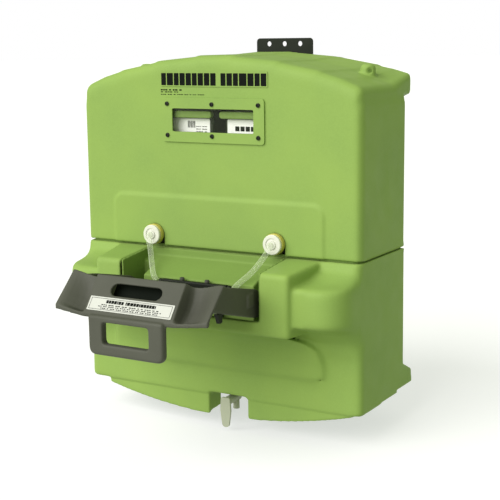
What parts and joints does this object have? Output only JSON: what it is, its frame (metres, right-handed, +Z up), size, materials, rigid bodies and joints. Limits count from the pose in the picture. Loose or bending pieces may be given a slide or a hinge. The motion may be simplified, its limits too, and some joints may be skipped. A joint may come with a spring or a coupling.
{
  "type": "eyewash station",
  "caption": "Wall-hung green eyewash station with a lift-off cartridge cover, a pull-down grey activation arm, spray nozzles over a basin, clear supply tubes and a drain valve.",
  "frame": {"origin": "back face of the wall bracket's tab, on the centre line, 20.6 mm below the row of three screw holes", "axes": "+X to the right seen from the front, +Y into the wall, +Z up"},
  "size_m": [0.6144, 0.5815, 0.7435],
  "materials": {
    "green_shell": "satin moulded, bright yellow-green",
    "green_liner": "satin moulded, shaded green",
    "grey_plastic": "fine grained, warm dark grey",
    "black_plastic": "satin",
    "black_steel": "black powder coat",
    "white_plastic": "satin",
    "yellow_plastic": "satin",
    "clear_plastic": "clear",
    "cream_plastic": "translucent cream",
    "label": "printed film",
    "rubber": "matt",
    "steel": "bright"
  },
  "bodies": {
    "base": {"lower_housing": "green_shell", "basin_liner": "green_liner", "cartridge_shelf": "green_liner", "back_panel": "green_liner", "wall_bracket": "black_steel", "nozzle_bar": "black_plastic", "drain_valve_body": "cream_plastic", "drain_valve_nut": "cream_plastic", "bracket_screw_left": "steel", "wall_pad_left": "rubber", "cartridge_left": "white_plastic", "cartridge_label_left": "label", "cartridge_handle_left": "green_liner", "spout_ring_left": "yellow_plastic", "spout_cap_left": "white_plastic", "supply_tube_left": "clear_plastic", "spray_nozzle_left": "grey_plastic", "tube_elbow_left": "black_plastic", "pivot_pin_left": "steel", "pivot_bush_left": "black_plastic", "bracket_screw_right": "steel", "wall_pad_right": "rubber", "cartridge_right": "white_plastic", "cartridge_label_right": "label", "cartridge_handle_right": "green_liner", "spout_ring_right": "yellow_plastic", "spout_cap_right": "white_plastic", "supply_tube_right": "clear_plastic", "spray_nozzle_right": "grey_plastic", "tube_elbow_right": "black_plastic", "pivot_pin_right": "steel", "pivot_bush_right": "black_plastic"},
    "cover": {"top_cover": "green_shell", "window_bezel": "green_shell", "window_gasket": "rubber", "window_lens": "clear_plastic", "header_sign": "label", "cover_screw_left": "black_plastic", "cover_screw_right": "black_plastic", "window_screw_1": "black_plastic", "window_screw_2": "black_plastic", "window_screw_3": "black_plastic", "window_screw_4": "black_plastic", "window_screw_5": "black_plastic", "window_screw_6": "black_plastic"},
    "arm": {"activation_arm": "grey_plastic", "arm_label": "label", "arm_catch_left": "black_plastic", "arm_catch_right": "black_plastic"},
    "drain_lever": {"drain_valve_lever": "cream_plastic"}
  },
  "joints": [
    {"name": "arm_hinge", "type": "hinge", "parent": "base", "child": "arm", "pos_m": [0, -0.345, -0.445], "axis": [-1, 0, 0], "range_deg": [0, 75]},
    {"name": "cover_lift", "type": "slide", "parent": "base", "child": "cover", "axis": [0, 0, 1], "range_m": [0, 0.4]},
    {"name": "drain_valve_turn", "type": "hinge", "parent": "base", "child": "drain_lever", "pos_m": [0.023, -0.2915, -0.6608], "axis": [0, -1, 0], "range_deg": [0, 90]}
  ]
}
